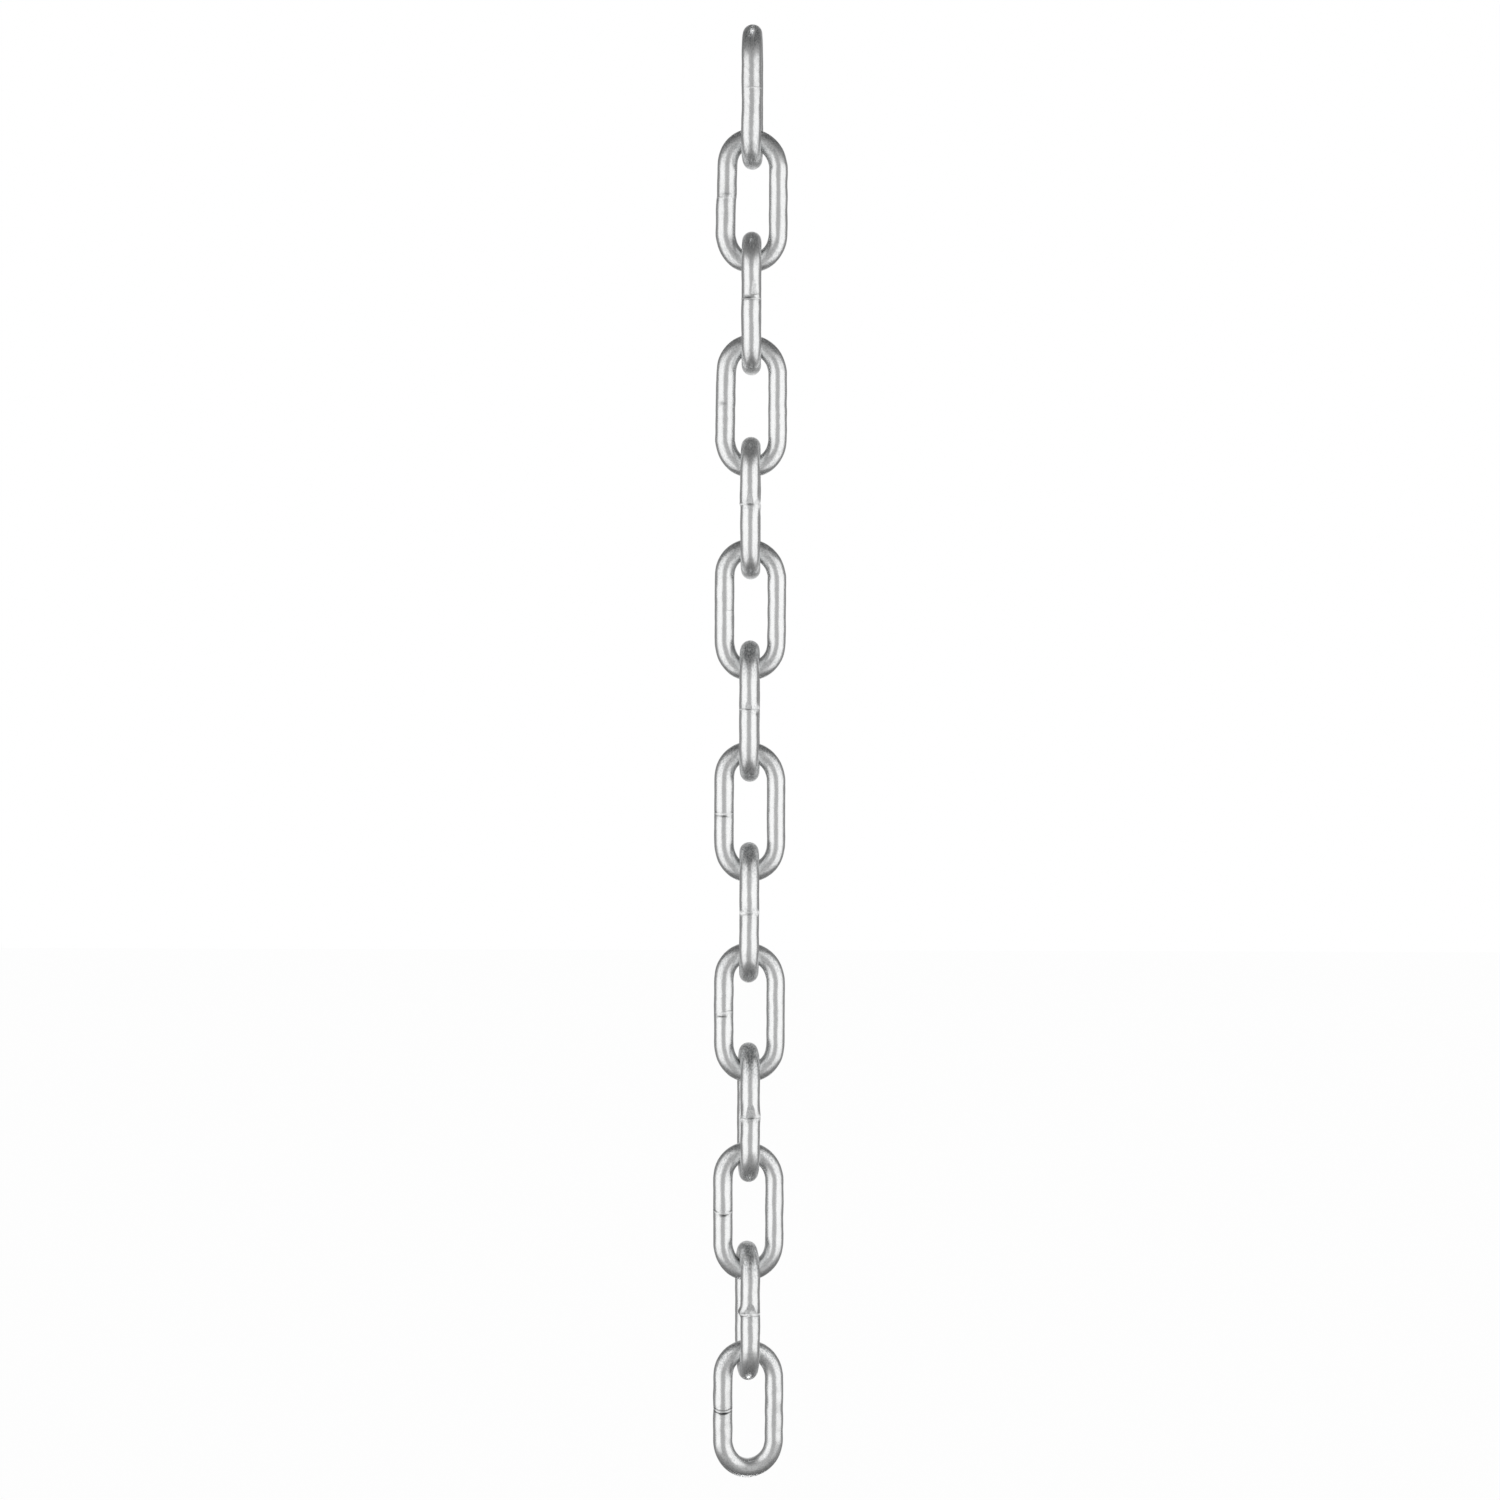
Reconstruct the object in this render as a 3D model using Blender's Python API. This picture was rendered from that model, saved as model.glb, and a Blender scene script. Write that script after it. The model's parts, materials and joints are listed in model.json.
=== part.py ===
"""Welded chain of round steel wire, hanging straight: each link is one object that swings in the one above.

Units are metres and +Z is up. The origin is the inner top of the first link, where a hook carries the chain.
"""

import math

import bmesh
import bpy
from mathutils import Matrix, Vector

# Driving dimensions of the chain.
LINK_COUNT = 14
WIRE_DIAMETER = 0.003
PITCH = 0.016  # clear length inside a link, crown to crown
SIDE_PLAY = 0.00105  # room left on each side of a wire that passes between the legs
SEAT_GAP = 0.0003  # gap between a crown and the crown that it hangs in

# The butt weld in the middle of one leg.
WELD_WIDTH = 0.0013
WELD_RISE = 0.00016  # how far a full collar stands proud of the wire
WELD_GROOVE = 0.00006  # depth of the crease where the two wire ends met
GROOVE_SHARE = 0.3  # half-width of that crease, as a share of half the collar
MILLIMETRE = 0.001

# From the top link down: how far each weld lies above the middle of its leg, in mm, and how full its collar is.
WELD_SHIFTS = (0.8, 0.4, 0.4, 0.3, 0.4, -0.2, 0.6, -0.5, 0.5, 0.0, 0.1, 0.0, 0.9, -0.4)
WELD_SIZES = (0.4, 0.7, 1.0, 0.5, 1.1, 0.4, 0.7, 0.9, 1.2, 0.8, 1.3, 0.6, 1.5, 0.9)

# How the links hang.
FIRST_TURN = math.radians(-3.4)  # the first link's turn about the chain's length
TWIST_PER_LINK = math.radians(0.7)  # the slight wind-up from link to link
QUARTER_TURN = math.radians(90)

# Facets of the swept wire.
WIRE_SIDES = 16
CROWN_STEPS = 10
WELD_STEPS = 6

# Bright zinc, as linear colour.
ZINC_COLOUR = (0.72, 0.73, 0.74)
ZINC_ROUGHNESS = 0.32
ZINC_SPREAD = 0.02  # each link is a shade lighter or darker than its neighbour

# Worked out from the driving dimensions.
WIRE_RADIUS = WIRE_DIAMETER / 2
INSIDE_WIDTH = WIRE_DIAMETER + 2 * SIDE_PLAY
BEND_RADIUS = (INSIDE_WIDTH + WIRE_DIAMETER) / 2  # of the wire's centreline round a crown
CROWN_LEVEL = (PITCH + WIRE_DIAMETER) / 2  # a crown's centreline above or below the link's centre
BEND_LEVEL = CROWN_LEVEL - BEND_RADIUS  # where a leg ends and a bend begins
HANG_DROP = PITCH / 2 - WIRE_RADIUS - SEAT_GAP  # from the wire a link hangs on down to its centre


def clear_scene():
    """Removes every object, so that only the chain is left."""
    for old in list(bpy.data.objects):
        bpy.data.objects.remove(old, do_unlink=True)


def zinc_material(index):
    """The bright zinc coat of one link."""
    material = bpy.data.materials.new(f"zinc_coat_{index + 1:02d}")
    material.use_nodes = True
    shader = material.node_tree.nodes["Principled BSDF"]
    shade = 1 + ZINC_SPREAD * (-1) ** index
    colour = [channel * shade for channel in ZINC_COLOUR]
    shader.inputs["Base Color"].default_value = (*colour, 1)
    shader.inputs["Metallic"].default_value = 1
    shader.inputs["Roughness"].default_value = ZINC_ROUGHNESS
    material.diffuse_color = (*colour, 1)
    return material


def weld_stations(index):
    """(level, radius) of each ring down the welded leg: a low rounded collar, creased round its middle."""
    centre = WELD_SHIFTS[index % len(WELD_SHIFTS)] * MILLIMETRE
    size = WELD_SIZES[index % len(WELD_SIZES)]
    stations = []
    for step in range(WELD_STEPS + 1):
        along = 1 - 2 * step / WELD_STEPS
        swell = math.sqrt(max(0.0, 1 - along * along))
        crease = max(0.0, 1 - abs(along) / GROOVE_SHARE)
        rise = size * (WELD_RISE * swell - WELD_GROOVE * crease)
        stations.append((centre + along * WELD_WIDTH / 2, WIRE_RADIUS + rise))
    return stations


def wire_stations(index):
    """(angle, level, radius) of each ring of wire, once round the link from the foot of the top crown."""
    bend = [math.pi * step / CROWN_STEPS for step in range(CROWN_STEPS + 1)]
    top_crown = [(angle, BEND_LEVEL, WIRE_RADIUS) for angle in bend]
    welded_leg = [(math.pi, level, radius) for level, radius in weld_stations(index)]
    bottom_crown = [(math.pi + angle, -BEND_LEVEL, WIRE_RADIUS) for angle in bend]
    return top_crown + welded_leg + bottom_crown


def wire_ring(mesh, angle, level, radius, drop):
    """Adds the wire's round section where the link's outline points outward at this angle."""
    outward = Vector((math.cos(angle), 0, math.sin(angle)))
    centre = BEND_RADIUS * outward + Vector((0, 0, level - drop))
    section = Matrix((outward, Vector((0, 1, 0)), outward.cross(Vector((0, 1, 0))))).transposed().to_4x4()
    made = bmesh.ops.create_circle(
        mesh, segments=WIRE_SIDES, radius=radius, matrix=Matrix.Translation(centre) @ section
    )
    return list({edge for vertex in made["verts"] for edge in vertex.link_edges})


def link_mesh(name, index, drop):
    """The closed wire of one link, in its own XZ plane, with its centre this far below its origin."""
    mesh = bmesh.new()
    rings = [wire_ring(mesh, *station, drop) for station in wire_stations(index)]
    for ring, following in zip(rings, rings[1:] + rings[:1]):
        bmesh.ops.bridge_loops(mesh, edges=ring + following)
    bmesh.ops.recalc_face_normals(mesh, faces=mesh.faces)
    data = bpy.data.meshes.new(name)
    mesh.to_mesh(data)
    mesh.free()
    data.shade_smooth()
    return data


def link_name(index):
    """What a person would call the link: the ends by their place, the rest by their number from the top."""
    if index == 0:
        return "top_link"
    if index == LINK_COUNT - 1:
        return "bottom_link"
    return f"link_{index + 1:02d}"


def hang_link(index, above):
    """Makes one link and hangs it in the link above, with its origin on the wire that it swings round."""
    name = link_name(index)
    drop = HANG_DROP if above else PITCH / 2
    link = bpy.data.objects.new(name, link_mesh(name, index, drop))
    link.data.materials.append(zinc_material(index))
    bpy.context.scene.collection.objects.link(link)
    if above:
        drop_above = HANG_DROP if above.parent else PITCH / 2
        link.parent = above
        link.location = (0, 0, -drop_above - CROWN_LEVEL)
        link.rotation_euler.z = TWIST_PER_LINK + QUARTER_TURN * (-1) ** index
    else:
        link.rotation_euler.z = FIRST_TURN + QUARTER_TURN
    return link


def build_chain():
    """Hangs every link in turn, from the top down."""
    above = None
    for index in range(LINK_COUNT):
        above = hang_link(index, above)


clear_scene()
build_chain()
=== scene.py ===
"""Looks of a hanging length of welded chain in bright zinc.

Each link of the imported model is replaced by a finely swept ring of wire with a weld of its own, and the
whole hangs in a small studio. Lengths are metres, +Z is up along the chain, and the viewer stands
towards -Y.
"""

import json
import logging
import math
from dataclasses import dataclass
from enum import Enum

import bpy
import numpy as np
from mathutils import Matrix, Vector

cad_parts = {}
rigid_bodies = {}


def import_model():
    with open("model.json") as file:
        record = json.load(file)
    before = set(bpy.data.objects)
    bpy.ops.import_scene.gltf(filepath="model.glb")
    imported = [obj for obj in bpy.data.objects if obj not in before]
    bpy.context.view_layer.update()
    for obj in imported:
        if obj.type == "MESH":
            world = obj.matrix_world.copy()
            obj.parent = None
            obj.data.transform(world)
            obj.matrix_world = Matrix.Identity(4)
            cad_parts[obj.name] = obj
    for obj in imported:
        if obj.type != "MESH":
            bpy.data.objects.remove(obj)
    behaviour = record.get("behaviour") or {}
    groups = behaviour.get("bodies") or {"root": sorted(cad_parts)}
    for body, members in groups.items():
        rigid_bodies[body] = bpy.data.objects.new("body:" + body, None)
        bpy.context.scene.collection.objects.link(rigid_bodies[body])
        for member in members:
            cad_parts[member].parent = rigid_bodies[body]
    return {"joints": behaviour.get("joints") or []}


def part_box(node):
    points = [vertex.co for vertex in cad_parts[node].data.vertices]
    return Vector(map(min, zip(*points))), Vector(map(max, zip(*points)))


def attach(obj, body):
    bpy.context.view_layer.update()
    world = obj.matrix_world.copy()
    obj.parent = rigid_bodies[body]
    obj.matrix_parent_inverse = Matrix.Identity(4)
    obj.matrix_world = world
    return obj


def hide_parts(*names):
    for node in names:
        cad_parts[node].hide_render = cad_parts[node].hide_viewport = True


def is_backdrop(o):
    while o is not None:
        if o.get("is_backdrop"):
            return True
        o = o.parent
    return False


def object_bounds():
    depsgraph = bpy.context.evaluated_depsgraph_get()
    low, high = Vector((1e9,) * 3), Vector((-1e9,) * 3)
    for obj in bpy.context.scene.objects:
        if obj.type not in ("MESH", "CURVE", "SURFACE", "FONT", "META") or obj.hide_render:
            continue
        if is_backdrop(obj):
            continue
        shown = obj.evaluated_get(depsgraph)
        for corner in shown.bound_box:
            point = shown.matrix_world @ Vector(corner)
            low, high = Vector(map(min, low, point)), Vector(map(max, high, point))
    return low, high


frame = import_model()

MM = 0.001
FULL_TURN = 2 * math.pi
WHITE = (1, 1, 1, 1)

# How a ring on the wire strays and swells as it goes round: waves per turn, and where they start.
SLOW_WAVES = 3
QUICK_WAVES = 7
QUICK_START = 1
SWELL_WAVES = 4
SWELL_START = 2
WAVE_TURN = 9  # radians that the waves turn for each millimetre of the ring's place
END_FADE = 30  # degrees over which a part ring dies away at an end

WAVE_SPREAD = (0.7, 1.4)  # least and most waves per length in a ripple, against its middle wave

log = logging.getLogger("chain")


def add_object(name: str, data: bpy.types.ID) -> bpy.types.Object:
    """Puts an object in the scene.

    Args:
        name: what to call it.
        data: its mesh, lamp or camera.

    Returns:
        The object.
    """
    made = bpy.data.objects.new(name, data)
    bpy.context.scene.collection.objects.link(made)
    return made


def angles_off(angles: np.ndarray, middle: float) -> np.ndarray:
    """How far directions lie from one of them, the shorter way round.

    Args:
        angles: the directions, in degrees.
        middle: the one to measure from.

    Returns:
        The angles between, from 0 to 180.
    """
    return np.abs((angles - middle + 180) % 360 - 180)


class Signal:
    """One output of a shader node, which takes part in sums as a number would."""

    def __init__(self, bench: "Bench", socket: bpy.types.NodeSocket | None) -> None:
        """Remembers the output and where more nodes go.

        Args:
            bench: the node tree that new maths is added to.
            socket: the output itself, or None for a node that has none.
        """
        self.bench = bench
        self.socket = socket

    def maths(self, operation: str, first: "Signal | float", second: "Signal | float") -> "Signal":
        """One Math node.

        Args:
            operation: the node's operation.
            first: its first value.
            second: its second value.

        Returns:
            The result.
        """
        return self.bench.node("ShaderNodeMath", {"operation": operation}, {0: first, 1: second})

    def __add__(self, other: "Signal | float") -> "Signal":
        """The sum."""
        return self.maths("ADD", self, other)

    def __radd__(self, other: float) -> "Signal":
        """The sum, with the number first."""
        return self.maths("ADD", other, self)

    def __sub__(self, other: "Signal | float") -> "Signal":
        """The difference."""
        return self.maths("SUBTRACT", self, other)

    def __rsub__(self, other: float) -> "Signal":
        """The difference, with the number first."""
        return self.maths("SUBTRACT", other, self)

    def __mul__(self, other: "Signal | float") -> "Signal":
        """The product."""
        return self.maths("MULTIPLY", self, other)

    def __rmul__(self, other: float) -> "Signal":
        """The product, with the number first."""
        return self.maths("MULTIPLY", other, self)

    def between(self, low: float, high: float) -> "Signal":
        """A smooth mask.

        Args:
            low: the value where the mask is 0.
            high: the value where it is 1.

        Returns:
            The mask, from 0 to 1.
        """
        limits = {"Value": self, "From Min": low, "From Max": high}
        return self.bench.node("ShaderNodeMapRange", {"interpolation_type": "SMOOTHSTEP"}, limits)


class Bench:
    """The node tree of one material or of the world."""

    def __init__(self, tree: bpy.types.NodeTree) -> None:
        """Clears the tree.

        Args:
            tree: the tree to fill.
        """
        self.tree = tree
        tree.nodes.clear()

    def node(
        self,
        kind: str,
        settings: dict | None = None,
        inputs: dict | None = None,
        output: str | int = 0,
    ) -> Signal:
        """Adds one node.

        Args:
            kind: the node's type.
            settings: its own properties, set first.
            inputs: a value or a Signal for each socket named or numbered.
            output: which of its outputs to return.

        Returns:
            That output.
        """
        made = self.tree.nodes.new(kind)
        for name, value in (settings or {}).items():
            setattr(made, name, value)
        for key, value in (inputs or {}).items():
            if isinstance(value, Signal):
                self.tree.links.new(value.socket, made.inputs[key])
            else:
                made.inputs[key].default_value = value
        return Signal(self, made.outputs[output] if made.outputs else None)

    def blend(self, share: Signal, first: Signal | tuple, second: Signal | tuple) -> Signal:
        """Mixes two colours.

        Args:
            share: how much of the second there is.
            first: a colour.
            second: another.

        Returns:
            The mixed colour.
        """
        colours = {"Factor": share, "A": first, "B": second}
        return self.node("ShaderNodeMix", {"data_type": "RGBA"}, colours, 2)

    def attribute(self, name: str, output: str = "Fac") -> Signal:
        """What the mesh stores under this name.

        Args:
            name: the mesh attribute.
            output: Fac for a number, Vector for a place.

        Returns:
            The stored value.
        """
        return self.node("ShaderNodeAttribute", {"attribute_name": name}, output=output)


def new_material(name: str) -> tuple[bpy.types.Material, Bench]:
    """Makes an empty material.

    Args:
        name: what to call it.

    Returns:
        The material and the node tree to fill.
    """
    material = bpy.data.materials.new(name)
    material.use_nodes = True
    return material, Bench(material.node_tree)


@dataclass(frozen=True)
class ZincCoat:
    """Bright zinc on drawn wire: satin along the legs, duller and grainy at the bends and the weld."""

    bright: tuple[float, float, float] = (0.915, 0.92, 0.92)
    dull: tuple[float, float, float] = (0.42, 0.44, 0.445)
    scorched: tuple[float, float, float] = (0.10, 0.105, 0.105)

    # Waves per metre of each pattern, round the wire and along it.
    mottle: tuple[float, float] = (1500.0, 1500.0)
    grain: tuple[float, float] = (5200.0, 3600.0)
    streaks: tuple[float, float] = (2600.0, 750.0)
    drawing: tuple[float, float] = (3800.0, 110.0)
    average: float = 0.5  # of every pattern
    detail: float = 2.0  # how many finer layers each pattern has

    # Values of a pattern where a patch of it sets in and where it is full.
    cloud_edges: tuple[float, float] = (0.36, 0.68)
    speck_edges: tuple[float, float] = (0.40, 0.64)
    bead_edges: tuple[float, float] = (0.38, 0.52)

    # How dull the plain zinc is, by its clouds, its specks and its drawing lines.
    cloud_dullness: float = 0.05
    speck_dullness: float = 0.15
    line_dullness: float = 0.2
    usual_specks: float = 0.35  # as many specks as leave the plain zinc neither brighter nor duller

    # How worked the zinc is where the wire is bent and about the weld, and how dull that makes it.
    bent_work: float = 0.55
    grit_work: float = 1.2
    worked_dullness: float = 0.07
    worked_streaks: float = 0.10  # added in the streaks
    worked_specks: float = 0.58  # added in the specks

    thin_bead: float = 0.45  # how much of a bead there is between its full patches
    bead_metal: float = 0.6  # how much less metallic a bead looks

    leg_roughness: float = 0.27
    crown_roughness: float = 0.06  # added where the wire is bent
    grit_roughness: float = 0.06  # added about the weld
    bead_roughness: float = 0.3  # added on the weld's beads
    grain_roughness: float = 0.08  # how much the grain varies it
    line_roughness: float = 0.06  # how much the drawing lines vary it

    # Heights of the patterns, and the share of them that a leg has and that a bend adds.
    grain_height: float = 0.010 * MM
    grain_on_leg: float = 0.25
    grain_on_bend: float = 0.6
    mottle_height: float = 0.016 * MM
    mottle_on_leg: float = 0.35
    mottle_on_bend: float = 0.1
    line_height: float = 0.003 * MM

    def pattern(self, bench: Bench, waves: tuple[float, float], shift: float) -> Signal:
        """Noise laid on the wire.

        Args:
            bench: the tree to add to.
            waves: how many there are per metre, round the wire and along it.
            shift: moves the noise.

        Returns:
            Its value, from 0 to 1.
        """
        about, along = waves
        place = bench.attribute("wire_place", "Vector")
        stretched = {0: place, 1: (about, about, along), 2: (shift, shift, shift)}
        where = bench.node("ShaderNodeVectorMath", {"operation": "MULTIPLY_ADD"}, stretched)
        noise = {"Vector": where, "Scale": 1.0, "Detail": self.detail}
        return bench.node("ShaderNodeTexNoise", {"noise_dimensions": "3D"}, noise, "Fac")

    def dress(self, piece: bpy.types.Object, shift: float) -> None:
        """Gives a link its zinc.

        Args:
            piece: the link.
            shift: moves the patterns, so that no two links are alike.
        """
        material, bench = new_material(f"{piece.name}_zinc")
        # The bent attribute carries each link's bend dullness, which is partly painted light and shade:
        # lighter or darker bends from link to link stand in for how the light falls along the chain.
        bent = bench.attribute("bent")
        grit = bench.attribute("grit")
        stain = bench.attribute("stain")
        mottle = self.pattern(bench, self.mottle, shift)
        grain = self.pattern(bench, self.grain, shift)
        streaks = self.pattern(bench, self.streaks, shift)
        lines = self.pattern(bench, self.drawing, shift)
        specks = grain.between(*self.speck_edges)
        full_bead = mottle.between(*self.bead_edges)
        bead = bench.attribute("bead") * (self.thin_bead + (1 - self.thin_bead) * full_bead)
        plain = (
            self.cloud_dullness * mottle.between(*self.cloud_edges)
            + self.speck_dullness * (specks - self.usual_specks)
            + self.line_dullness * (lines - self.average)
        )
        worked = self.bent_work * bent + self.grit_work * grit
        streaked = self.worked_streaks * streaks.between(*self.cloud_edges)
        dullness = plain + worked * (self.worked_dullness + streaked + self.worked_specks * specks)
        dullness = dullness * (1 - bead)
        colour = bench.blend(dullness, (*self.bright, 1), (*self.dull, 1))
        colour = bench.blend(stain, colour, (*self.scorched, 1))
        rough = (
            self.leg_roughness
            + self.crown_roughness * bent
            + self.grit_roughness * grit
            + self.bead_roughness * bead
            + self.grain_roughness * (grain - self.average)
            + self.line_roughness * (lines - self.average)
        )
        height = (
            (self.grain_height * (self.grain_on_leg + self.grain_on_bend * bent + grit)) * grain
            + (self.mottle_height * (self.mottle_on_leg + self.mottle_on_bend * bent + grit)) * mottle
            + self.line_height * lines
        )
        relief = {"Height": height, "Distance": 1.0, "Strength": 1.0}
        bump = bench.node("ShaderNodeBump", inputs=relief, output="Normal")
        metal = 1 - self.bead_metal * bead
        looks = {"Base Color": colour, "Roughness": rough, "Metallic": metal, "Normal": bump}
        shader = bench.node("ShaderNodeBsdfPrincipled", inputs=looks)
        bench.node("ShaderNodeOutputMaterial", inputs={"Surface": shader})
        piece.data.materials.clear()
        piece.data.materials.append(material)


class Mark:
    """Something that the welding left on the wire."""

    def at(self, above: float, angles: np.ndarray) -> np.ndarray:
        """What it does to the wire at one height.

        Args:
            above: height above the seam, in millimetres.
            angles: round the leg, in degrees, from the side that faces the viewer towards the right.

        Returns:
            Four rows: its rise in millimetres, how matt and bright it is, how dark, and how gritty.
        """
        raise NotImplementedError


@dataclass(frozen=True)
class Ring(Mark):
    """A raised or sunken line round the welded leg. Lengths are millimetres, angles degrees."""

    place: float  # above the seam
    rise: float  # below 0 for a crease
    width: float
    tilt: float = 0.0  # how far the line climbs from its middle
    climbs_to: float = 90.0  # the side that it climbs to
    middle: float = 0.0  # of the part of the turn that it takes up
    half: float = 400.0  # half of that part: all round where this is over 180
    bead: float = 0.0  # how matt and bright it is
    stain: float = 0.0  # how dark it is
    wander: float = 0.025  # how far the line strays
    uneven: float = 0.3  # how much its width varies

    def at(self, above: float, angles: np.ndarray) -> np.ndarray:
        """What the ring does to the wire at one height.

        Args:
            above: height above the seam, in millimetres.
            angles: round the leg, in degrees, from the side that faces the viewer towards the right.

        Returns:
            Four rows, as for every mark.
        """
        turn = np.radians(angles) + WAVE_TURN * self.place
        line = self.place + self.tilt * np.cos(np.radians(angles - self.climbs_to))
        line = line + self.wander * (np.sin(SLOW_WAVES * turn) + np.sin(QUICK_WAVES * turn + QUICK_START))
        width = self.width * (1 + self.uneven * np.sin(SWELL_WAVES * turn + SWELL_START))
        inside = 0.5 + (self.half - angles_off(angles, self.middle)) / END_FADE
        share = np.exp(-(((above - line) / width) ** 2)) * np.clip(inside, 0, 1)
        return np.stack([self.rise * share, self.bead * share, self.stain * share, np.zeros_like(share)])


@dataclass(frozen=True)
class Flat(Mark):
    """A face that the clamp pressed on the wire: a bell that widens down to the seam."""

    low: float  # its lower end, above the seam
    length: float
    half: float  # half of its width at the lower end, in degrees round the wire
    facing: float = 0.0
    wire_radius: float = 1.5
    chalk: float = 0.25  # how matt and bright it is
    grit: float = 0.5
    spread: float = 0.4  # how soon it widens, going down: 1 for straight sides, less for a rounder bell

    def at(self, above: float, angles: np.ndarray) -> np.ndarray:
        """What the clamp did to the wire at one height.

        Args:
            above: height above the seam, in millimetres.
            angles: round the leg, in degrees, from the side that faces the viewer towards the right.

        Returns:
            Four rows, as for every mark.
        """
        share = 1 - (above - self.low) / self.length
        half = self.half * share**self.spread if 0 <= share <= 1 else 0.0
        off = angles_off(angles, self.facing)
        chord = math.cos(math.radians(half)) / np.cos(np.radians(np.minimum(off, half)))
        rise = self.wire_radius * (chord - 1)
        pressed = off < half
        return np.stack([rise * pressed, self.chalk * pressed, np.zeros_like(rise), self.grit * pressed])


class Weld(Enum):
    """How the butt weld of a link came out, as the marks that it left."""

    HAIRLINE = (Ring(0.0, 0.015, 0.10, middle=40, half=70, bead=0.4),)
    SOFT_STEP = (
        Ring(0.55, -0.01, 0.20, middle=0, half=22, stain=0.4),
        Ring(0.0, 0.02, 0.14, half=62, bead=0.5),
        Ring(0.40, -0.03, 0.14, middle=85, half=25, stain=0.2),
    )
    LENS_CREASE = (
        Flat(0.42, 2.2, 20, facing=16),
        Ring(0.52, 0.0, 0.20, middle=38, half=18, stain=0.35),
        Ring(0.08, -0.14, 0.26, middle=-25, half=32, stain=0.75, wander=0.0, uneven=0.0),
        Ring(-0.20, 0.03, 0.09, middle=75, half=75, bead=0.9),
        Ring(-0.18, 0.03, 0.09, middle=-75, half=28, bead=0.9),
        Ring(-0.34, -0.02, 0.07, stain=0.3),
        Ring(-0.80, -0.05, 0.25, middle=88, half=30, stain=0.2),
    )
    TINTED_SPOT = (
        Ring(0.05, 0.0, 0.28, middle=-14, half=17, stain=0.52),
        Ring(-0.5, 0.01, 0.08, middle=42, half=18, bead=0.5),
    )
    SIDE_FLASH = (
        Flat(0.12, 1.6, 19),
        Ring(0.0, -0.05, 0.13, middle=0, half=22, stain=0.6),
        Ring(0.0, 0.08, 0.17, middle=-80, half=40, bead=1.0),
        Ring(0.02, 0.11, 0.60, middle=72, half=44, bead=1.0),
    )
    HALF_LINE = (Ring(0.0, -0.02, 0.07, middle=50, half=42, stain=0.4),)
    SLANTED_SEAM = (
        Flat(0.10, 1.2, 20, facing=-2),
        Ring(0.05, -0.03, 0.08, tilt=-0.12, middle=-35, half=60, stain=0.5),
        Ring(-0.10, 0.03, 0.10, tilt=-0.12, middle=-60, half=32, bead=1.0),
        Ring(0.0, -0.02, 0.07, middle=50, half=30, stain=0.3),
        Ring(0.22, 0.09, 0.46, middle=88, half=34, bead=1.0),
        Ring(-0.65, -0.06, 0.20, middle=85, half=28, stain=0.4),
    )
    BAND_AND_SPOT = (
        Ring(0.43, -0.03, 0.09, middle=180, half=135, stain=0.5),
        Ring(0.18, 0.03, 0.13, half=62, bead=0.9),
        Ring(-0.17, -0.05, 0.13, middle=0, half=20, stain=0.8),
        Ring(-0.12, -0.03, 0.08, middle=-42, half=12, stain=0.6),
    )
    BRIGHT_RING = (
        Ring(0.05, 0.03, 0.15, half=70, bead=0.7, wander=0.07, uneven=0.6),
        Ring(0.05, 0.03, 0.30, middle=75, half=40, bead=1.0),
        Ring(-0.05, 0.03, 0.28, middle=-65, half=38, bead=1.0),
        Ring(-0.25, -0.03, 0.10, middle=-25, half=12, stain=0.5),
        Ring(-0.05, -0.02, 0.14, middle=-4, half=10, stain=0.6),
    )
    LOW_CRESCENT = (
        Ring(0.45, -0.03, 0.07, middle=55, half=50, stain=0.45),
        Ring(0.18, 0.02, 0.13, half=60, bead=0.6),
        Ring(-0.42, -0.07, 0.13, middle=-20, half=28, stain=0.8),
    )
    BELL = (
        Flat(0.06, 2.2, 33, chalk=0.2, grit=0.75, spread=0.45),
        Ring(0.0, -0.04, 0.08, stain=0.5),
        Ring(0.12, 0.08, 0.60, middle=72, half=38, bead=1.0),
        Ring(-0.20, 0.06, 0.38, middle=-66, half=36, bead=1.0),
    )
    CUPPED_BAND = (
        Ring(0.46, -0.05, 0.10, tilt=0.38, climbs_to=180, middle=180, half=146, stain=0.55),
        Ring(0.24, 0.03, 0.12, tilt=0.38, climbs_to=180, half=65, bead=0.9),
        Ring(-0.33, -0.07, 0.19, middle=3, half=20, stain=0.95),
    )
    SIDE_BULGE = (
        Flat(-0.15, 1.75, 37, facing=-3, grit=0.8, spread=0.5),
        Ring(0.20, 0.0, 0.34, middle=-5, half=36, bead=0.45, wander=0.06, uneven=0.5),
        Ring(0.06, -0.03, 0.06, middle=15, half=80, stain=0.4),
        Ring(-0.18, 0.03, 0.19, middle=15, half=95, bead=1.0, uneven=0.1),
        Ring(-0.42, -0.02, 0.06, middle=15, half=80, stain=0.35),
        Ring(0.12, 0.40, 0.62, middle=-90, half=42, stain=0.2, wander=0.0, uneven=0.0),
    )
    DOUBLE_CUP = (
        Ring(0.42, -0.04, 0.10, tilt=0.35, climbs_to=180, stain=0.5),
        Ring(0.20, 0.02, 0.11, tilt=0.35, climbs_to=180, half=60, bead=0.7),
        Ring(-0.02, -0.05, 0.13, tilt=0.40, climbs_to=180, stain=0.7),
        Ring(-0.38, -0.06, 0.15, middle=0, half=20, stain=0.9),
    )


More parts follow.
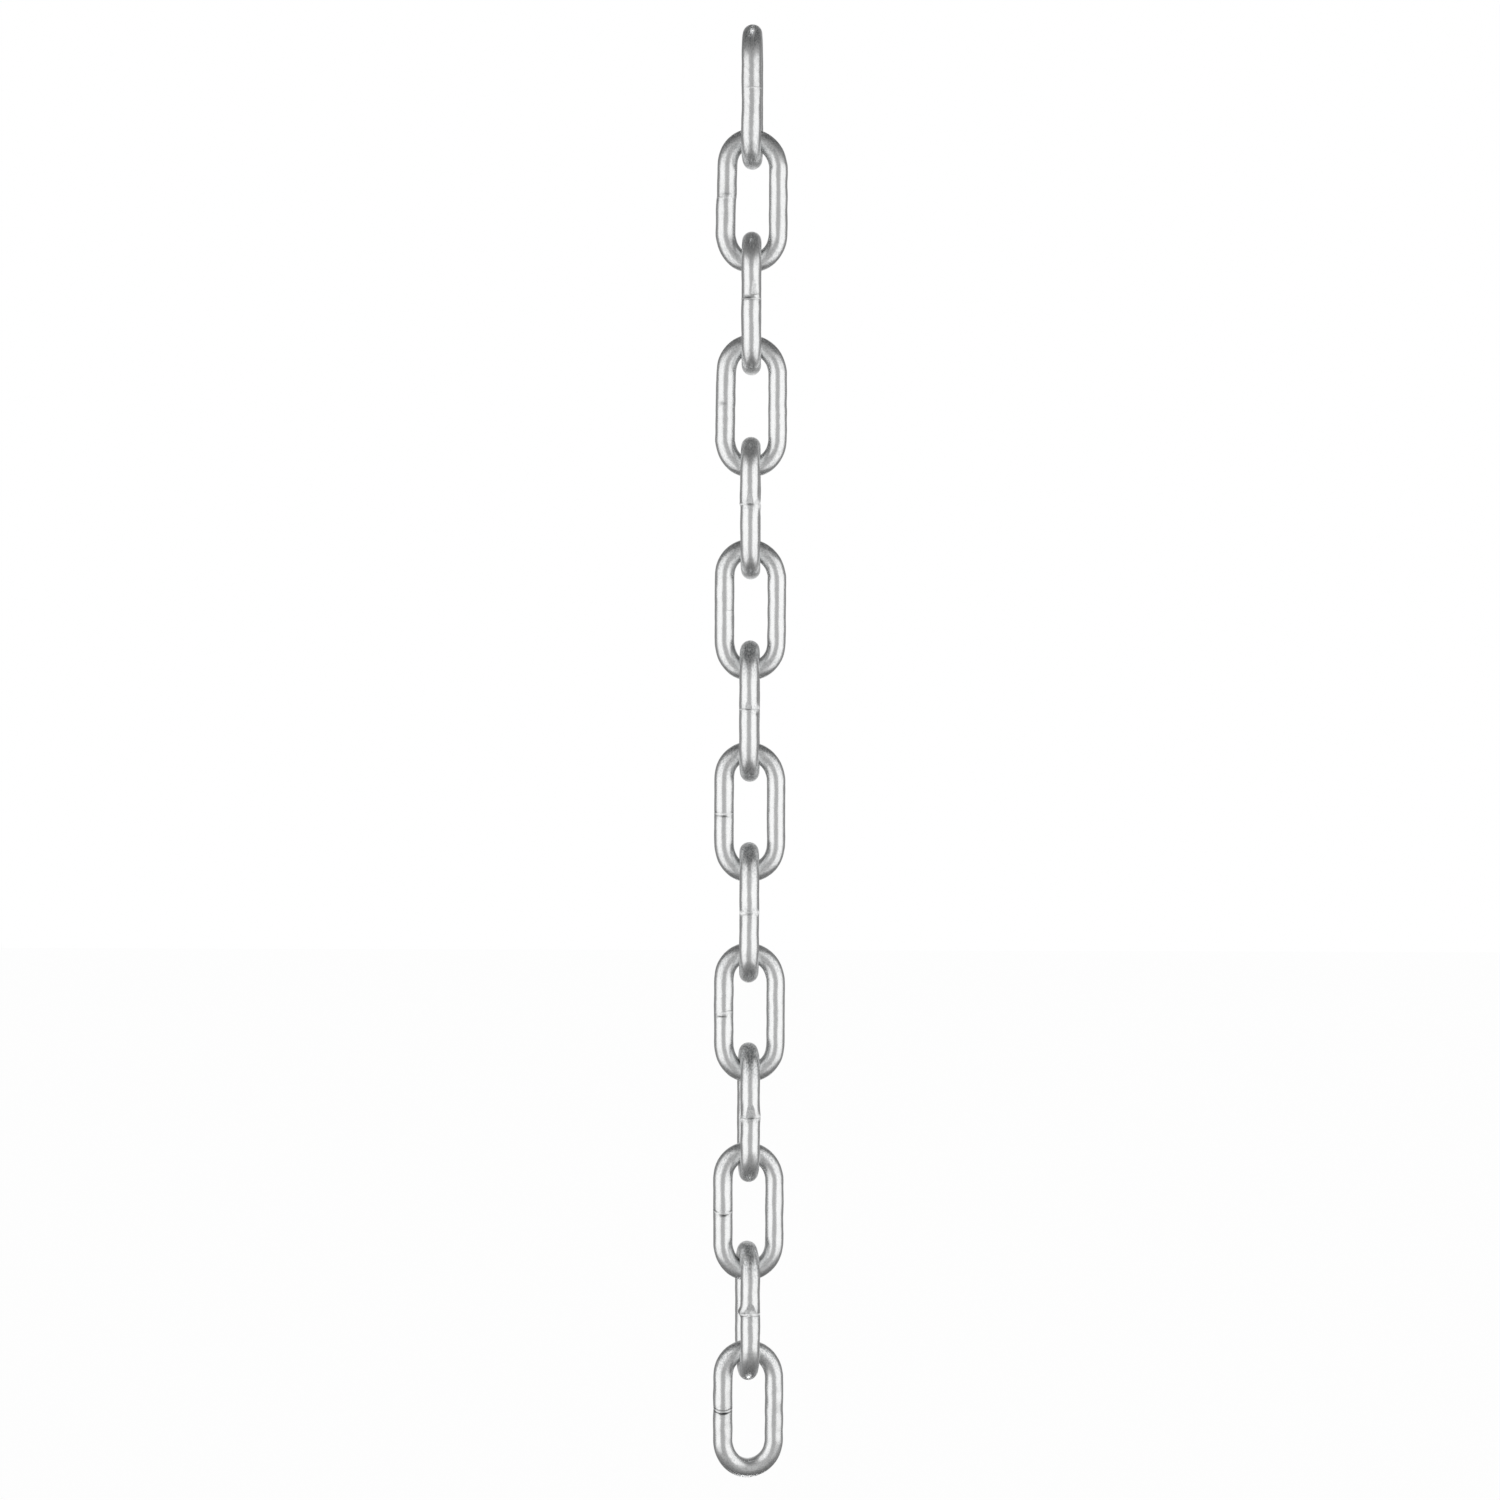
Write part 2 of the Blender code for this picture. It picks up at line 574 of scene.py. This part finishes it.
@dataclass(frozen=True)
class Temper:
    """What tells one link from the next. Lengths are millimetres, angles degrees."""

    weld: Weld
    place: float = 0.0  # of the seam, above the middle of the leg
    misfit: float = 0.0  # how far the leg below the weld stands to the right of the leg above it
    grit: float = 0.0  # how grainy the wire is about the seam
    aside: float = 0.0  # how far the link hangs to the right
    turned: float = 0.0  # how much further it is turned about the chain's length
    pinch: float = 0.0  # how far the welded leg stands in from its place
    lean: float = 0.0  # how much further in its upper end stands
    # Lighter or darker bends from link to link are partly painted light and shade, standing in for how the
    # light falls along the chain, and partly wear.
    wear_and_painted_shade: float = 1.0  # bends' dullness against the usual: part wear, part painted shade


# The bends' dullness given for some links below is partly painted light and shade: it makes their bends
# lighter or darker to stand in for how the light falls on them.
TEMPERS = (
    Temper(Weld.HAIRLINE, 0.78, aside=0.1, turned=0.8, wear_and_painted_shade=1.15),
    Temper(Weld.SOFT_STEP, 0.38, misfit=-0.10, grit=0.4, aside=0.035, pinch=0.11, lean=0.11),
    Temper(Weld.LENS_CREASE, 0.6, grit=0.3, aside=0.03, turned=1.2, wear_and_painted_shade=0.55),
    Temper(Weld.TINTED_SPOT, 0.3, grit=0.1, aside=0.035, pinch=0.06, lean=0.1, wear_and_painted_shade=0.85),
    Temper(Weld.SIDE_FLASH, 0.54, misfit=0.12, grit=0.5, turned=-0.8, wear_and_painted_shade=0.62),
    Temper(Weld.HALF_LINE, -0.05),
    Temper(Weld.SLANTED_SEAM, 0.5, grit=0.5, aside=-0.07, turned=-2.8, wear_and_painted_shade=1.2),
    Temper(Weld.BAND_AND_SPOT, -0.42, grit=0.3),
    Temper(Weld.BRIGHT_RING, 0.5, grit=0.6, aside=-0.14, turned=-1.2),
    Temper(Weld.LOW_CRESCENT, -0.05, grit=0.2, aside=0.035, wear_and_painted_shade=0.85),
    Temper(Weld.BELL, -0.1, grit=0.7, aside=-0.15, turned=0.8, wear_and_painted_shade=1.2),
    Temper(Weld.CUPPED_BAND, 0.0, grit=0.3, aside=-0.05, wear_and_painted_shade=0.85),
    Temper(Weld.SIDE_BULGE, 0.63, grit=0.6, aside=-0.24, turned=1.9),
    Temper(Weld.DOUBLE_CUP, -0.02, grit=0.3),
)


class Ripple:
    """Smooth unevenness in space: a few slow waves that cross one another."""

    def __init__(self, seed: int, wavelength: float, waves: int = 9) -> None:
        """Draws the waves.

        Args:
            seed: picks the pattern.
            wavelength: of the middle wave.
            waves: how many cross.
        """
        draw = np.random.default_rng(seed)
        directions = draw.normal(size=(waves, 3))
        directions /= np.linalg.norm(directions, axis=1)[:, None]
        self.waves = directions * draw.uniform(*WAVE_SPREAD, (waves, 1)) * FULL_TURN / wavelength
        self.phases = draw.uniform(0, FULL_TURN, waves)

    def at(self, places: np.ndarray) -> np.ndarray:
        """Reads the unevenness.

        Args:
            places: points, with x, y and z along the last axis.

        Returns:
            A number for each point, about 0 on average, seldom past 2.
        """
        return np.sin(places @ self.waves.T + self.phases).sum(-1) * math.sqrt(2 / len(self.phases))


def running_sum(values: np.ndarray) -> np.ndarray:
    """Sums neighbouring means up from 0.

    Args:
        values: numbers at even steps.

    Returns:
        As many sums, in steps.
    """
    return np.concatenate([[0.0], np.cumsum((values[1:] + values[:-1]) / 2)])


@dataclass(frozen=True)
class Shoulder:
    """How a quarter of the link's outline stands in from the round, as the bending left it."""

    slack: float = 0.0  # how far in, at most
    ends: float = 90.0  # how far round the crown that goes on from the leg, in degrees
    fullness: float = 0.7  # below 1 where the wire stands in for most of that way

    def inward(self, angle: float) -> float:
        """How far in the wire stands.

        Args:
            angle: how far round the crown, from the leg, in radians.

        Returns:
            The distance.
        """
        share = min(1.0, math.degrees(angle) / self.ends)
        return self.slack * math.sin(math.pi * share) ** self.fullness


@dataclass(frozen=True)
class WireSize:
    """The driving sizes of every link."""

    wire: float = 3.0 * MM
    inside_length: float = 16.0 * MM
    side_play: float = 1.05 * MM  # on each side of a wire that passes between the legs
    welded_share: float = 1.016  # the welded leg's thickness: upset by the weld
    plain_share: float = 0.957  # the other leg's thickness: stretched by the bending
    ease: float = 0.16  # share of a crown's length in which the bend sets in
    crown_steps: int = 60

    # The shoulders of the upper and the lower crown: on the welded side, then on the plain side.
    above: tuple[Shoulder, Shoulder] = (Shoulder(), Shoulder(0.21 * MM))
    below: tuple[Shoulder, Shoulder] = (Shoulder(0.09 * MM, 55), Shoulder(0.08 * MM))

    @property
    def bend(self) -> float:
        """Distance of a leg's centreline from the link's middle."""
        return self.wire + self.side_play

    @property
    def apex(self) -> float:
        """Height of a crown's centreline above the middle of the link."""
        return (self.inside_length + self.wire) / 2

    def crown(self) -> tuple[np.ndarray, np.ndarray, np.ndarray, np.ndarray]:
        """The upper crown, from the welded leg over to the plain one. The bend sets in and dies away softly.

        Returns:
            Length of wire from the crown's start, places across and up from there, and the turn of the
            outward direction.
        """
        share = np.linspace(0, 1, self.crown_steps + 1)
        bending = np.clip(np.minimum(share, 1 - share) / self.ease, 0, 1)
        turned = running_sum(bending)
        heading = math.pi * (0.5 - turned / turned[-1])
        across, up = running_sum(np.cos(heading)), running_sum(np.sin(heading))
        scale = 2 * self.bend / across[-1]
        return share * self.crown_steps * scale, across * scale, up * scale, heading + math.pi / 2

    def shoulder(self, across: float, up: float) -> np.ndarray:
        """How a shoulder shifts the wire.

        Args:
            across: place across the link.
            up: place up the link.

        Returns:
            A shift across, through and up.
        """
        beyond = abs(up) - (self.apex - self.bend)
        if beyond <= 0:
            return np.zeros(3)
        angle = math.atan2(beyond, abs(across))
        inward = (self.above if up > 0 else self.below)[int(across > 0)].inward(angle)
        sideways = math.copysign(math.cos(angle), across)
        upward = math.copysign(math.sin(angle), up)
        return -inward * np.array([sideways, 0.0, upward])

    def radius(self, across: float) -> float:
        """Half the wire, which differs from leg to leg.

        Args:
            across: place across the link, below 0 towards the welded leg.

        Returns:
            The radius there.
        """
        plain = 0.5 + 0.5 * across / self.bend
        return self.wire / 2 * (self.welded_share + (self.plain_share - self.welded_share) * plain)


@dataclass(frozen=True)
class Station:
    """One section through the wire, in the plane of the link."""

    travelled: float  # along the wire, from the seam
    centre: tuple[float, float]  # across and up
    turn: float  # of the outward direction
    bent: float  # 0 on a leg, 1 round a crown


@dataclass
class Link:
    """One link: a closed ring of round wire, butt-welded near the middle of its left or front leg."""

    name: str
    turn: float  # about the chain's length, in radians
    middle: Vector
    face_on: bool  # whether it shows its face to the viewer
    temper: Temper
    seed: int  # picks its unevenness
    size: WireSize = WireSize()
    sides: int = 64  # round the wire
    weld_reach: float = 2.2 * MM  # how far the fine sections go on each side of the seam
    weld_steps: int = 44
    leg_steps: int = 12  # from there to a crown
    plain_steps: int = 36  # on the other leg

    # Unevenness of the wire's face: the height and the length of each ripple.
    ripples: tuple[tuple[float, float], ...] = ((0.014 * MM, 3.2 * MM), (0.004 * MM, 1.2 * MM))
    calmed: float = 0.7  # how much fainter the ripples are round a crown

    # Unevenness of the wire's run.
    sway: float = 0.02 * MM
    sway_length: float = 9.0 * MM
    sway_flat: float = 0.3  # of the sway in the link's own plane, against the sway through it
    sway_seeds: tuple[int, int] = (100, 200)  # added to the link's seed, in its plane and through it

    misfit_fades: float = 3.5 * MM  # how far from the seam a misfit dies away
    misfit_blend: float = 0.25 * MM  # how soft its step is at the seam
    bent_onset: float = 0.25  # share of a crown in which the wire comes to look worked
    lower_bent: float = 0.7  # how worked the lower crown looks, against the upper one
    grit_reach: float = 0.8 * MM  # how far from the seam the wire is grainy
    stretched_grit: float = 0.63  # on the outer side of a bend

    def leg(self, side: int, start: float, end: float, steps: int, travelled: float) -> list[Station]:
        """Sections along a straight stretch of a leg.

        Args:
            side: -1 for the welded leg, 1 for the plain one.
            start: height where the stretch begins.
            end: height where it ends, left out.
            steps: how many sections.
            travelled: length of wire up to the start.

        Returns:
            The sections, in order along the wire.
        """
        turn = math.pi if side < 0 else 0.0
        heights = [start + (end - start) * step / steps for step in range(steps)]
        return [Station(travelled + abs(z - start), (side * self.size.bend, z), turn, 0.0) for z in heights]

    def crown(self, side: int, level: float, travelled: float) -> list[Station]:
        """Sections round a crown.

        Args:
            side: 1 for the upper crown, -1 for the lower one, which is the same turned about.
            level: height where the crown sets in.
            travelled: length of wire up to there.

        Returns:
            The sections, in order along the wire.
        """
        run, across, up, turn = (values[:-1] for values in self.size.crown())
        bent = np.clip(np.minimum(run, run[-1] - run) / (self.bent_onset * run[-1]), 0, 1)
        across = side * (across - self.size.bend)
        up = side * (level + up)
        turn = turn + (0 if side > 0 else math.pi)
        bent = bent * (1 if side > 0 else self.lower_bent)
        return [Station(travelled + r, (x, z), t, b) for r, x, z, t, b in zip(run, across, up, turn, bent)]

    def stations(self) -> list[Station]:
        """Every section, once round the link from the weld: up, over the top, down and back.

        Returns:
            The sections, in order along the wire.
        """
        run, _, up, _ = self.size.crown()
        level = self.size.apex - up.max()
        reach = self.weld_reach
        seam = self.temper.place * MM
        found = self.leg(-1, seam, seam + reach, self.weld_steps, 0.0)
        found += self.leg(-1, seam + reach, level, self.leg_steps, reach)
        travelled = level - seam
        found += self.crown(1, level, travelled)
        travelled += run[-1]
        found += self.leg(1, level, -level, self.plain_steps, travelled)
        travelled += 2 * level
        found += self.crown(-1, level, travelled)
        travelled += run[-1]
        found += self.leg(-1, -level, seam - reach, self.leg_steps, travelled)
        travelled += level + seam - reach
        found += self.leg(-1, seam - reach, seam, self.weld_steps, travelled)
        return found

    def marks(self, above: float, angles: np.ndarray) -> np.ndarray:
        """What the weld did to the wire at one height.

        Args:
            above: height above the seam, in metres.
            angles: round the leg, from the viewer's side towards the right, in radians.

        Returns:
            Four rows: the rise in metres, how matt and bright the wire is, how dark, and how gritty.
        """
        found = sum(mark.at(above / MM, np.degrees(angles)) for mark in self.temper.weld.value)
        found[0] *= MM
        found[1:] = np.clip(found[1:], 0, 1)
        return found

    def stray(self, across: float, up: float) -> np.ndarray:
        """How far the wire stands from its true place. At the seam, half of the misfit goes each way.

        Args:
            across: place across the link.
            up: place up the link.

        Returns:
            A shift across, through and up.
        """
        level = self.size.apex - self.size.bend
        on_leg = max(0.0, -across / self.size.bend)
        inward = on_leg * (self.temper.pinch + self.temper.lean * max(-1.0, min(1.0, up / level)))
        above = up - self.temper.place * MM
        fade = math.exp(-abs(above) / self.misfit_fades) if across < 0 else 0.0
        jump = -0.5 * math.tanh(above / self.misfit_blend) * fade * self.temper.misfit * on_leg
        if self.face_on:
            return np.array([inward + jump, 0.0, 0.0]) * MM
        return np.array([inward, -jump, 0.0]) * MM

    def surface(self) -> tuple[np.ndarray, np.ndarray, dict[str, np.ndarray]]:
        """Works the whole wire out.

        Returns:
            The points as rings of sections, their places round and along the wire, and what the zinc needs
            to know of each point: how bent the wire is there, scaled by the link's wear and painted shade,
                how
            gritty, how matt and bright, and how dark.
        """
        around = np.arange(self.sides) / self.sides * FULL_TURN
        outer = np.clip(np.cos(around), 0, 1)
        front = -math.pi / 2 if self.face_on else 0.0
        ripples = [Ripple(self.seed + step, length) for step, (_, length) in enumerate(self.ripples)]
        flat_sway, through_sway = (Ripple(self.seed + step, self.sway_length) for step in self.sway_seeds)
        through = np.array([0.0, 1.0, 0.0])
        points, places = [], []
        told = {"bent": [], "grit": [], "bead": [], "stain": []}
        for station in self.stations():
            across, up = station.centre
            outward = np.array([math.cos(station.turn), 0.0, math.sin(station.turn)])
            centre = np.array([across, 0.0, up]) + self.stray(across, up) + self.size.shoulder(across, up)
            swayed = self.sway_flat * flat_sway.at(centre) * outward + through_sway.at(centre) * through
            centre = centre + self.sway * swayed
            normals = np.cos(around)[:, None] * outward + np.sin(around)[:, None] * through
            plain = self.size.radius(across)
            radius = np.full(self.sides, plain)
            for (height, _), ripple in zip(self.ripples, ripples):
                radius += height * (1 - self.calmed * station.bent) * ripple.at(centre + plain * normals)
            marks = np.zeros((4, self.sides))
            grit = 0.0
            if station.bent == 0.0 and across < 0:
                above = up - self.temper.place * MM
                marks = self.marks(above, front - around)
                grit = self.temper.grit * math.exp(-((above / self.grit_reach) ** 2))
            points.append(centre + (radius + marks[0])[:, None] * normals)
            along = np.full(self.sides, station.travelled)
            places.append(np.stack([plain * np.cos(around), plain * np.sin(around), along], 1))
            # The link's bend dullness used below is partly painted shade and light, as well as wear.
            stretched = self.stretched_grit * self.temper.wear_and_painted_shade * station.bent**2 * outer
            told["bent"].append(np.full(self.sides, self.temper.wear_and_painted_shade * station.bent))
            told["grit"].append(np.maximum(grit, marks[3]) + stretched)
            told["bead"].append(marks[1])
            told["stain"].append(marks[2])
        stored = {name: np.array(rows) for name, rows in told.items()}
        return np.array(points), np.array(places), stored

    def build(self) -> bpy.types.Object:
        """Makes the link's mesh, in place.

        Returns:
            The new piece.
        """
        points, places, told = self.surface()
        count = len(points)
        index = np.arange(count * self.sides).reshape(count, self.sides)
        after = np.roll(index, -1, axis=0)
        quads = np.stack([index, np.roll(index, -1, axis=1), np.roll(after, -1, axis=1), after], -1)
        mesh = bpy.data.meshes.new(self.name)
        mesh.from_pydata(points.reshape(-1, 3).tolist(), [], quads.reshape(-1, 4).tolist())
        wire_length = places[-1, 0, 2] + self.weld_reach / self.weld_steps
        ends = np.concatenate([places[1:], places[:1] + [0, 0, wire_length]])
        corners = np.stack([places, np.roll(places, -1, axis=1), np.roll(ends, -1, axis=1), ends], 2)
        self.store(mesh, "wire_place", "FLOAT_VECTOR", "CORNER", "vector", corners)
        for name, values in told.items():
            self.store(mesh, name, "FLOAT", "POINT", "value", values)
        middle = self.middle + Vector((self.temper.aside * MM, 0, 0))
        turn = self.turn + math.radians(self.temper.turned)
        mesh.transform(Matrix.Translation(middle) @ Matrix.Rotation(turn, 4, "Z"))
        mesh.shade_smooth()
        return add_object(f"{self.name}_wire", mesh)

    @staticmethod
    def store(
        mesh: bpy.types.Mesh, name: str, kind: str, domain: str, field: str, values: np.ndarray
    ) -> None:
        """Stores numbers in the mesh for its material to read.

        Args:
            mesh: the mesh.
            name: what the material calls them.
            kind: number or vector.
            domain: points or face corners.
            field: the name of the stored value.
            values: the numbers, in order.
        """
        made = mesh.attributes.new(name, kind, domain)
        made.data.foreach_set(field, values.astype(np.float32).ravel())


@dataclass
class Chain:
    """The whole chain: 14 links, each hung in the one above, crosswise and slightly wound up."""

    coat: ZincCoat = ZincCoat()
    pattern_step: float = 37.0  # how far the zinc's pattern moves from link to link

    def nodes(self) -> list[str]:
        """Finds the links' order. The joints name each link and the one above it.

        Returns:
            The links' names, from the top down.
        """
        below = {joint["parent"]: joint["child"] for joint in frame["joints"]}
        top = (set(below) - set(below.values())).pop()
        run = [top]
        while run[-1] in below:
            run.append(below[run[-1]])
        return run

    def turns(self, names: list[str]) -> list[float]:
        """Each link's turn about the chain's length.

        Every link but the last carries the wire that the next one swings on, so that joint's axis tells,
        whichever way along the wire it points. The last link goes on with the wind-up of the two links
        above it that face its way.

        Args:
            names: the links from the top down.

        Returns:
            The turns, in radians.
        """
        axes = {joint["parent"]: joint["axis"] for joint in frame["joints"]}
        found = []
        for name in names[:-1]:
            x, y, _ = axes[name]
            sign = 1 if x + y > 0 else -1
            found.append(math.atan2(sign * y, sign * x))
        nearest, next_nearest = found[-2], found[-4]
        found.append(2 * nearest - next_nearest)
        return found

    def build(self) -> None:
        """Makes, dresses and hangs every link."""
        names = self.nodes()
        turns = self.turns(names)
        for index, (name, turn) in enumerate(zip(names, turns)):
            low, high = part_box(name)
            middle = Vector((0, 0, (low.z + high.z) / 2))
            face_on = index % 2 == 1  # every second link, from the second on
            piece = Link(name, turn, middle, face_on, TEMPERS[index], seed=index + 1).build()
            self.coat.dress(piece, self.pattern_step * (index + 1))
            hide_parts(name)
            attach(piece, name)
            points = len(piece.data.vertices)
            log.info("%s: %d points, turned %.1f degrees", piece.name, points, math.degrees(turn))


@dataclass(frozen=True)
class Viewpoint:
    """Where the viewer stands, as the picture's perspective tells."""

    distance: float = 500 * MM
    height: float = -75.3 * MM
    aside: float = -0.03 * MM
    pitch: float = math.radians(3.77)  # down
    roll: float = math.radians(0.159)
    focal_pixels: float = 3226.0
    frame_pixels: float = 1500.0
    nearest: float = 10 * MM  # nothing closer than this is seen

    def place(self) -> None:
        """Puts the camera there."""
        data = bpy.data.cameras.new("viewer")
        data.lens = data.sensor_width * self.focal_pixels / self.frame_pixels
        data.clip_start = self.nearest
        camera = add_object("viewer", data)
        level = Matrix.Rotation(math.pi / 2 - self.pitch, 4, "X") @ Matrix.Rotation(self.roll, 4, "Z")
        camera.matrix_world = Matrix.Translation((self.aside, -self.distance, self.height)) @ level
        bpy.context.scene.camera = camera


@dataclass
class Studio:
    """A plain white room with a soft lamp on each side, and a grey tent that only the metal reflects."""

    middle: Vector
    room_light: float = 0.85  # the room's light on dull surfaces, where 1 is white
    floor_drop: float = 800 * MM
    floor_half: float = 6.0
    floor_white: float = 0.95  # how much light it throws back
    floor_glow: float = 0.93  # how much of its look is plain white, which no shadow falls on

    # The soft lamps, left and right.
    lamp_distance: float = 200 * MM
    lamp_turns: tuple[float, float] = (59, 61.5)  # from the viewer, in degrees
    lamp_widths: tuple[float, float] = (262 * MM, 286 * MM)
    lamp_heights: tuple[float, float] = (390 * MM, 345 * MM)
    lamp_drops: tuple[float, float] = (28 * MM, 10 * MM)  # below the chain's middle
    lamp_glow: float = 0.65  # where 1 is white

    # The tent's glow, where 1 is white: at the bottom, in a low belt, in a belt level with the chain's
    # middle, and above. The belts vary with the turn from the viewer. Turns and climbs are degrees.
    tent_radius: float = 600 * MM
    tent_columns: int = 96
    tent_rows: int = 48
    tent_climbs: tuple[float, ...] = (-78, -50, -26, 15, 54)  # bottom, low belt, level belt's edges, above
    tent_bottom: float = 0.14
    tent_turns: tuple[float, ...] = (0, 20, 60, 95, 115, 150, 170, 180)
    tent_below: tuple[float, ...] = (0.27, 0.27, 0.23, 0.2, 0.2, 0.22, 0.25, 0.25)
    tent_levels: tuple[float, ...] = (0.45, 0.45, 0.42, 0.37, 0.24, 0.24, 0.8, 0.8)
    tent_above: float = 0.16

    # The two bright cards behind the chain.
    glint_width: float = 90 * MM
    glint_depth: float = 36 * MM
    glint_glow: float = 4.5
    glint_above: tuple[float, float] = (45 * MM, 330 * MM)  # behind and above the chain's middle
    glint_below: tuple[float, float] = (95 * MM, -330 * MM)

    def room(self) -> None:
        """The white room: seen as white, and a soft even light on everything."""
        world = bpy.data.worlds.new("room")
        bpy.context.scene.world = world
        world.use_nodes = True
        bench = Bench(world.node_tree)
        seen = self.seen(bench)
        strength = self.room_light + (1 - self.room_light) * seen
        white = bench.node("ShaderNodeBackground", inputs={"Color": WHITE, "Strength": strength})
        bench.node("ShaderNodeOutputWorld", inputs={"Surface": white})

    @staticmethod
    def seen(bench: Bench) -> Signal:
        """1 for what the eye, the metal or glass sees, 0 for light on a dull surface.

        Args:
            bench: the tree to add to.

        Returns:
            That mask.
        """
        eye = bench.node("ShaderNodeLightPath", output="Is Camera Ray")
        metal = bench.node("ShaderNodeLightPath", output="Is Glossy Ray")
        glass = bench.node("ShaderNodeLightPath", output="Is Transmission Ray")
        clamped = {"operation": "ADD", "use_clamp": True}
        return bench.node("ShaderNodeMath", clamped, {0: eye + metal, 1: glass})

    def floor(self) -> None:
        """A pale floor that runs on to the horizon, white but for the shadow on it."""
        level = self.middle.z - self.floor_drop
        floor = self.sheet("floor", self.floor_half, self.floor_half, level)
        material, bench = new_material("floor_white")
        grey = (self.floor_white, self.floor_white, self.floor_white, 1)
        matt = bench.node("ShaderNodeBsdfDiffuse", inputs={"Color": grey})
        glow = bench.node("ShaderNodeEmission", inputs={"Color": WHITE, "Strength": 1.0})
        share = self.floor_glow * self.seen(bench)
        mixed = bench.node("ShaderNodeMixShader", inputs={0: share, 1: matt, 2: glow})
        bench.node("ShaderNodeOutputMaterial", inputs={"Surface": mixed})
        floor.data.materials.append(material)
        floor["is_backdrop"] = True

    @staticmethod
    def sheet(name: str, half_width: float, half_depth: float, level: float) -> bpy.types.Object:
        """A four-cornered sheet that lies flat.

        Args:
            name: what to call it.
            half_width: half of its width.
            half_depth: half of its depth.
            level: how high it lies.

        Returns:
            The sheet.
        """
        x, y = half_width, half_depth
        mesh = bpy.data.meshes.new(name)
        corners = [(-x, -y, level), (x, -y, level), (x, y, level), (-x, y, level)]
        mesh.from_pydata(corners, [], [(0, 1, 2, 3)])
        return add_object(name, mesh)

    @staticmethod
    def light_up(thing: bpy.types.Object, name: str, glow: float | None = None) -> None:
        """Lets a thing glow for the metal alone: only a reflection shows it.

        Args:
            thing: what glows.
            name: what to call its material.
            glow: how bright it is, or None where its mesh tells.
        """
        material, bench = new_material(name)
        material.cycles.emission_sampling = "NONE"
        strength = bench.attribute("glow") if glow is None else glow
        light = bench.node("ShaderNodeEmission", inputs={"Color": WHITE, "Strength": strength})
        bench.node("ShaderNodeOutputMaterial", inputs={"Surface": light})
        thing.data.materials.append(material)
        thing.visible_camera = False
        thing.visible_diffuse = False
        thing.visible_shadow = False
        thing.visible_transmission = False

    def tent_glow(self, direction: Vector) -> float:
        """Brightness of the tent in one direction from the chain's middle.

        Args:
            direction: a unit vector.

        Returns:
            Its glow, where 1 is white.
        """
        turn = abs(math.degrees(math.atan2(direction.x, -direction.y)))
        climb = math.degrees(math.asin(max(-1.0, min(1.0, direction.z))))
        level = np.interp(turn, self.tent_turns, self.tent_levels)
        below = np.interp(turn, self.tent_turns, self.tent_below)
        levels = [self.tent_bottom, below, level, level, self.tent_above]
        return float(np.interp(climb, self.tent_climbs, levels))

    def tent(self) -> None:
        """The grey tent round the chain: a ball, cut flat at the top and at the bottom."""
        turns = self.tent_columns
        points = []
        for row in range(1, self.tent_rows):
            climb = math.pi * row / self.tent_rows - math.pi / 2
            out, up = math.cos(climb), math.sin(climb)
            for column in range(turns):
                turn = FULL_TURN * column / turns
                points.append(Vector((out * math.cos(turn), out * math.sin(turn), up)))
        top = len(points) - turns
        faces = []
        for low in range(0, top, turns):
            for column in range(turns):
                right = (column + 1) % turns
                high = low + turns
                faces.append((low + column, low + right, high + right, high + column))
        faces.append(tuple(range(turns))[::-1])
        faces.append(tuple(range(top, len(points))))
        mesh = bpy.data.meshes.new("tent")
        mesh.from_pydata([tuple(self.middle + self.tent_radius * point) for point in points], [], faces)
        glow = mesh.attributes.new("glow", "FLOAT", "POINT")
        glow.data.foreach_set("value", [self.tent_glow(point) for point in points])
        tent = add_object("tent", mesh)
        self.light_up(tent, "tent_grey")
        tent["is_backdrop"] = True

    def lamps(self) -> None:
        """A soft lamp on each side, its middle a little below the chain's."""
        sizes = zip(self.lamp_turns, self.lamp_widths, self.lamp_heights, self.lamp_drops)
        for name, side, (degrees, width, height, drop) in zip(("left", "right"), (-1, 1), sizes):
            data = bpy.data.lights.new(f"soft_lamp_{name}", "AREA")
            data.shape = "RECTANGLE"
            data.size = width
            data.size_y = height
            data.energy = self.lamp_glow * math.pi * width * height
            lamp = add_object(data.name, data)
            turn = math.radians(degrees)
            away = Vector((side * math.sin(turn), -math.cos(turn), 0))
            place = self.middle + self.lamp_distance * away - Vector((0, 0, drop))
            facing = away.to_track_quat("Z", "Y").to_matrix().to_4x4()
            lamp.matrix_world = Matrix.Translation(place) @ facing

    def glint(self, name: str, place: tuple[float, float]) -> None:
        """A small bright card that leaves a dot of light on each crown.

        Args:
            name: what to call it.
            place: how far it lies behind and above the chain's middle.
        """
        card = self.sheet(name, self.glint_width / 2, self.glint_depth / 2, 0)
        card.location = self.middle + Vector((0, *place))
        self.light_up(card, name, self.glint_glow)
        card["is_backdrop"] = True

    def build(self) -> None:
        """Sets the whole studio up."""
        self.room()
        self.floor()
        self.tent()
        self.lamps()
        self.glint("glint_above", self.glint_above)
        self.glint("glint_below", self.glint_below)


def main() -> None:
    """Builds the chain and the studio."""
    logging.basicConfig(level=logging.INFO, format="%(message)s")
    cad_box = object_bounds()
    Viewpoint().place()
    Chain().build()
    Studio((cad_box[0] + cad_box[1]) / 2).build()
    bpy.context.scene.view_settings.view_transform = "Standard"


if __name__ == "__main__":
    main()
